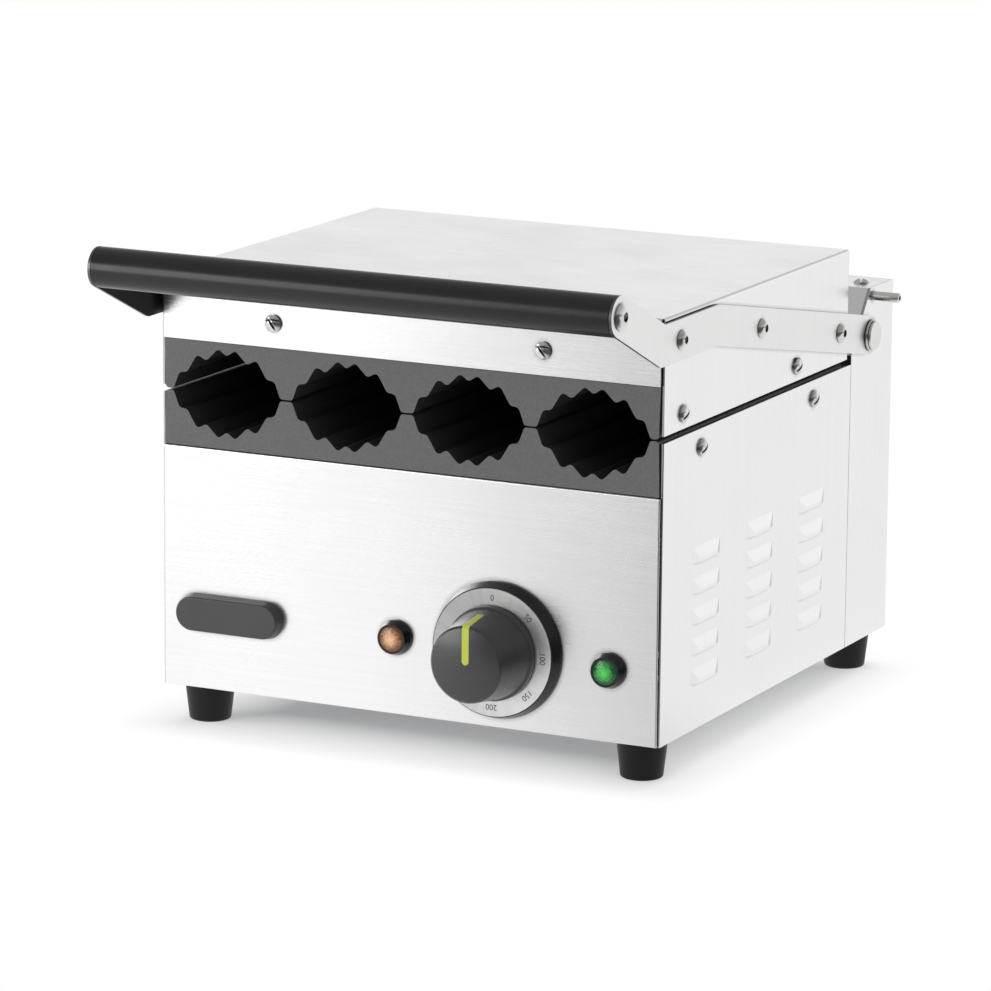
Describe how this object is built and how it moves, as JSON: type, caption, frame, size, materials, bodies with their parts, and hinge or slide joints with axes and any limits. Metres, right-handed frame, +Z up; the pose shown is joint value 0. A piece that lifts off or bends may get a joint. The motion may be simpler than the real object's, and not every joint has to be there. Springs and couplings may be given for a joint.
{
  "type": "contact grill",
  "caption": "Countertop contact grill: steel case on rubber feet, ribbed cast plates closing around open-ended cavities, hinged lid with bar handle, thermostat dial and lamps.",
  "frame": {"origin": "centre of the overall outline on the table plane under the feet", "axes": "+X to the right seen from the front, +Y from the front panel towards the rear housing, +Z up"},
  "size_m": [0.333, 0.4034, 0.2746],
  "materials": {
    "brushed_panels": "brushed stainless sheet with a fine straight grain",
    "inner_sheet": "plain galvanised sheet",
    "cast_plates": "cast, with a dark non-stick coating and a fine sandy texture",
    "lid_arms": "satin flat bar with clean cut edges",
    "bright_fasteners": "bright stainless screws and spacers",
    "zinc_fasteners": "zinc plated",
    "turned_steel": "turned bar with a fine lathe finish",
    "bush_bronze": "sintered bronze",
    "spring_wire": "oiled spring wire",
    "element_sheath": "heat-darkened steel tube",
    "insulation_mat": "pale mineral fibre mat",
    "handle_black": "black moulded resin with a soft gloss",
    "thermostat_body": "pale ceramic body",
    "capillary_copper": "drawn copper",
    "dial_black": "black moulding with a soft gloss",
    "dial_silver": "silver foil with round brushing and black marks",
    "knob_black": "black moulding, satin",
    "pointer_yellow": "lime yellow insert",
    "bezel_black": "black moulding, glossy",
    "lens_amber": "translucent amber with small facets",
    "lens_green": "translucent green with small facets",
    "name_plate_black": "black raised plate, blank",
    "foot_rubber": "black rubber",
    "terminal_white": "pale moulding",
    "gland_black": "black nylon"
  },
  "bodies": {
    "case": {"front_panel": "brushed_panels", "side_panel_left": "brushed_panels", "side_panel_right": "brushed_panels", "bottom_plate": "inner_sheet", "rear_housing": "brushed_panels", "tower_cover": "brushed_panels", "tower_cover_screws": "bright_fasteners", "lower_grill_plate": "cast_plates", "lower_heating_element": "element_sheath", "lower_clamp_plate": "inner_sheet", "lower_clamp_screws": "zinc_fasteners", "heat_shield": "inner_sheet", "base_screws": "bright_fasteners", "hinge_bushes": "bush_bronze", "stop_rod": "turned_steel", "balance_spring_left": "spring_wire", "balance_spring_right": "spring_wire", "thermostat": "thermostat_body", "thermostat_screws": "zinc_fasteners", "capillary_bulb": "capillary_copper", "dial_base": "dial_black", "dial_scale": "dial_silver", "heating_lamp_bezel": "bezel_black", "heating_lamp_lens": "lens_amber", "power_lamp_bezel": "bezel_black", "power_lamp_lens": "lens_green", "lamp_nuts": "bezel_black", "name_plate": "name_plate_black", "foot_front_left": "foot_rubber", "foot_front_right": "foot_rubber", "foot_rear_left": "foot_rubber", "foot_rear_right": "foot_rubber", "foot_screws": "zinc_fasteners", "terminal_block": "terminal_white", "lead_gland": "gland_black", "gland_nut": "gland_black"},
    "lid": {"lid_cover": "brushed_panels", "upper_grill_plate": "cast_plates", "upper_heating_element": "element_sheath", "upper_clamp_plate": "inner_sheet", "upper_clamp_screws": "zinc_fasteners", "lid_insulation": "insulation_mat", "lid_arm_left": "lid_arms", "lid_arm_right": "lid_arms", "arm_spacers": "bright_fasteners", "arm_screws": "bright_fasteners", "arm_nuts": "bright_fasteners", "lid_screws": "bright_fasteners", "hinge_shaft": "turned_steel", "pivot_collars": "turned_steel", "pivot_caps": "turned_steel", "spring_cranks": "turned_steel", "handle_grip": "handle_black", "handle_collars": "handle_black", "handle_core": "turned_steel", "handle_screws": "bright_fasteners"},
    "knob": {"knob": "knob_black", "knob_pointer": "pointer_yellow", "control_shaft": "turned_steel"}
  },
  "joints": [
    {"name": "lid_hinge", "type": "hinge", "parent": "case", "child": "lid", "pos_m": [0, 0.14435, 0.1997], "axis": [-1, 0, 0], "range_deg": [0, 69]},
    {"name": "knob_turn", "type": "hinge", "parent": "case", "child": "knob", "pos_m": [0.0558, -0.12925, 0.065], "axis": [0, 1, 0], "range_deg": [0, 180]}
  ]
}
